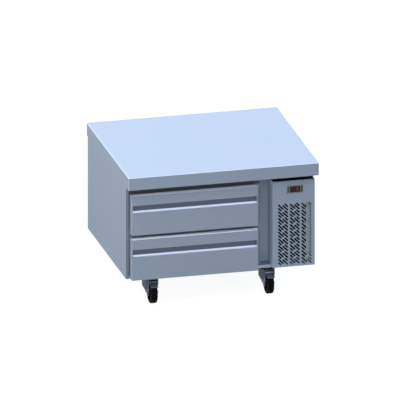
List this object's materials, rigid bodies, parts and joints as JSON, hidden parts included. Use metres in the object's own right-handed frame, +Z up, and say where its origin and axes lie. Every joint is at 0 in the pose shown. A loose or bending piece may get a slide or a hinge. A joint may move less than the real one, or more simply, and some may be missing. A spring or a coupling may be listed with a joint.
{
  "type": "refrigerated chef base",
  "caption": "Low refrigerated equipment stand on casters: heavy stainless worktop, insulated pan drawers with full-width finger pulls, and a cooling machine behind a slotted cover.",
  "frame": {"origin": "on the floor, under the middle of the worktop", "axes": "+Z up; the drawers and the machine cover face -Y; +X runs from the drawers to the machine cover"},
  "size_m": [0.924, 0.816, 0.651],
  "materials": {
    "stainless_steel": "satin",
    "galvanised_steel": "matte",
    "zinc_plated_steel": "satin",
    "tub_liner": "satin",
    "frame_plastic": "matte",
    "gasket_rubber": "matte",
    "black_plastic": "satin",
    "grey_plastic": "matte",
    "dark_window": "gloss",
    "black_paint": "satin",
    "aluminium_fins": "satin",
    "copper": "satin",
    "black_polyurethane": "matte"
  },
  "bodies": {
    "cabinet": {"worktop": "stainless_steel", "left_side_panel": "stainless_steel", "right_side_panel": "stainless_steel", "back_panel": "galvanised_steel", "base_pan": "stainless_steel", "insulated_tub": "tub_liner", "opening_frame": "frame_plastic", "channel_post": "stainless_steel", "machine_cover": "stainless_steel", "controller_case": "grey_plastic", "controller_window": "dark_window", "compressor": "black_paint", "condenser_coil": "aluminium_fins", "condenser_shroud": "galvanised_steel", "condenser_fan_motor": "black_paint", "suction_pipe": "copper", "discharge_pipe": "copper", "liquid_pipe": "copper", "evaporator_coil": "aluminium_fins", "evaporator_fan_box": "galvanised_steel", "upper_left_outer_slide": "zinc_plated_steel", "upper_right_outer_slide": "zinc_plated_steel", "lower_left_outer_slide": "zinc_plated_steel", "lower_right_outer_slide": "zinc_plated_steel", "front_left_caster_plate": "zinc_plated_steel", "front_right_caster_plate": "zinc_plated_steel", "rear_left_caster_plate": "zinc_plated_steel", "rear_right_caster_plate": "zinc_plated_steel"},
    "upper_drawer": {"upper_drawer_front": "stainless_steel", "upper_drawer_liner": "tub_liner", "upper_drawer_gasket": "gasket_rubber", "upper_drawer_pan_frame": "stainless_steel"},
    "upper_middle_slides": {"upper_left_middle_slide": "zinc_plated_steel", "upper_right_middle_slide": "zinc_plated_steel"},
    "lower_drawer": {"lower_drawer_front": "stainless_steel", "lower_drawer_liner": "tub_liner", "lower_drawer_gasket": "gasket_rubber", "lower_drawer_pan_frame": "stainless_steel"},
    "lower_middle_slides": {"lower_left_middle_slide": "zinc_plated_steel", "lower_right_middle_slide": "zinc_plated_steel"},
    "key_1": {"controller_key_1": "grey_plastic"},
    "key_2": {"controller_key_2": "grey_plastic"},
    "key_3": {"controller_key_3": "grey_plastic"},
    "key_4": {"controller_key_4": "grey_plastic"},
    "condenser_fan": {"condenser_fan_blade": "black_plastic"},
    "evaporator_fan": {"evaporator_fan_blade": "black_plastic"},
    "front_left_fork": {"front_left_caster_fork": "zinc_plated_steel", "front_left_caster_axle": "zinc_plated_steel"},
    "front_left_wheel": {"front_left_caster_wheel": "black_polyurethane"},
    "front_left_pedal": {"front_left_brake_pedal": "zinc_plated_steel"},
    "front_right_fork": {"front_right_caster_fork": "zinc_plated_steel", "front_right_caster_axle": "zinc_plated_steel"},
    "front_right_wheel": {"front_right_caster_wheel": "black_polyurethane"},
    "front_right_pedal": {"front_right_brake_pedal": "zinc_plated_steel"},
    "rear_left_fork": {"rear_left_caster_fork": "zinc_plated_steel", "rear_left_caster_axle": "zinc_plated_steel"},
    "rear_left_wheel": {"rear_left_caster_wheel": "black_polyurethane"},
    "rear_right_fork": {"rear_right_caster_fork": "zinc_plated_steel", "rear_right_caster_axle": "zinc_plated_steel"},
    "rear_right_wheel": {"rear_right_caster_wheel": "black_polyurethane"}
  },
  "joints": [
    {"name": "upper_drawer_slide", "type": "slide", "parent": "cabinet", "child": "upper_drawer", "axis": [0, -1, 0], "range_m": [0, 0.44]},
    {"name": "upper_middle_slides_slide", "type": "slide", "parent": "cabinet", "child": "upper_middle_slides", "axis": [0, -1, 0], "range_m": [0, 0.22]},
    {"name": "lower_drawer_slide", "type": "slide", "parent": "cabinet", "child": "lower_drawer", "axis": [0, -1, 0], "range_m": [0, 0.44]},
    {"name": "lower_middle_slides_slide", "type": "slide", "parent": "cabinet", "child": "lower_middle_slides", "axis": [0, -1, 0], "range_m": [0, 0.22]},
    {"name": "key_1_press", "type": "slide", "parent": "cabinet", "child": "key_1", "axis": [0, 1, 0], "range_m": [0, 0.0008], "stiffness_N_per_m": 300},
    {"name": "key_2_press", "type": "slide", "parent": "cabinet", "child": "key_2", "axis": [0, 1, 0], "range_m": [0, 0.0008], "stiffness_N_per_m": 300},
    {"name": "key_3_press", "type": "slide", "parent": "cabinet", "child": "key_3", "axis": [0, 1, 0], "range_m": [0, 0.0008], "stiffness_N_per_m": 300},
    {"name": "key_4_press", "type": "slide", "parent": "cabinet", "child": "key_4", "axis": [0, 1, 0], "range_m": [0, 0.0008], "stiffness_N_per_m": 300},
    {"name": "condenser_fan_spin", "type": "hinge", "parent": "cabinet", "child": "condenser_fan", "pos_m": [0.3445, -0.2198, 0.3023], "axis": [0, 1, 0], "continuous": true},
    {"name": "evaporator_fan_spin", "type": "hinge", "parent": "cabinet", "child": "evaporator_fan", "pos_m": [-0.1406, 0.2565, 0.382], "axis": [0, 1, 0], "continuous": true},
    {"name": "front_left_swivel", "type": "hinge", "parent": "cabinet", "child": "front_left_fork", "pos_m": [-0.3327, -0.307, 0.1164], "axis": [0, 0, 1], "continuous": true},
    {"name": "front_left_wheel_spin", "type": "hinge", "parent": "front_left_fork", "child": "front_left_wheel", "pos_m": [-0.3327, -0.348, 0.051], "axis": [1, 0, 0], "continuous": true},
    {"name": "front_left_brake", "type": "hinge", "parent": "front_left_fork", "child": "front_left_pedal", "pos_m": [-0.3327, -0.36, 0.1065], "axis": [1, 0, 0], "range_deg": [0, 12]},
    {"name": "front_right_swivel", "type": "hinge", "parent": "cabinet", "child": "front_right_fork", "pos_m": [0.2323, -0.307, 0.1164], "axis": [0, 0, 1], "continuous": true},
    {"name": "front_right_wheel_spin", "type": "hinge", "parent": "front_right_fork", "child": "front_right_wheel", "pos_m": [0.2323, -0.348, 0.051], "axis": [1, 0, 0], "continuous": true},
    {"name": "front_right_brake", "type": "hinge", "parent": "front_right_fork", "child": "front_right_pedal", "pos_m": [0.2323, -0.36, 0.1065], "axis": [1, 0, 0], "range_deg": [0, 12]},
    {"name": "rear_left_swivel", "type": "hinge", "parent": "cabinet", "child": "rear_left_fork", "pos_m": [-0.3327, 0.328, 0.1164], "axis": [0, 0, 1], "continuous": true},
    {"name": "rear_left_wheel_spin", "type": "hinge", "parent": "rear_left_fork", "child": "rear_left_wheel", "pos_m": [-0.3327, 0.287, 0.051], "axis": [1, 0, 0], "continuous": true},
    {"name": "rear_right_swivel", "type": "hinge", "parent": "cabinet", "child": "rear_right_fork", "pos_m": [0.2323, 0.328, 0.1164], "axis": [0, 0, 1], "continuous": true},
    {"name": "rear_right_wheel_spin", "type": "hinge", "parent": "rear_right_fork", "child": "rear_right_wheel", "pos_m": [0.2323, 0.287, 0.051], "axis": [1, 0, 0], "continuous": true}
  ],
  "couplings": [
    {"joint": "upper_middle_slides_slide", "follows": "upper_drawer_slide", "ratio": 0.5},
    {"joint": "lower_middle_slides_slide", "follows": "lower_drawer_slide", "ratio": 0.5}
  ]
}
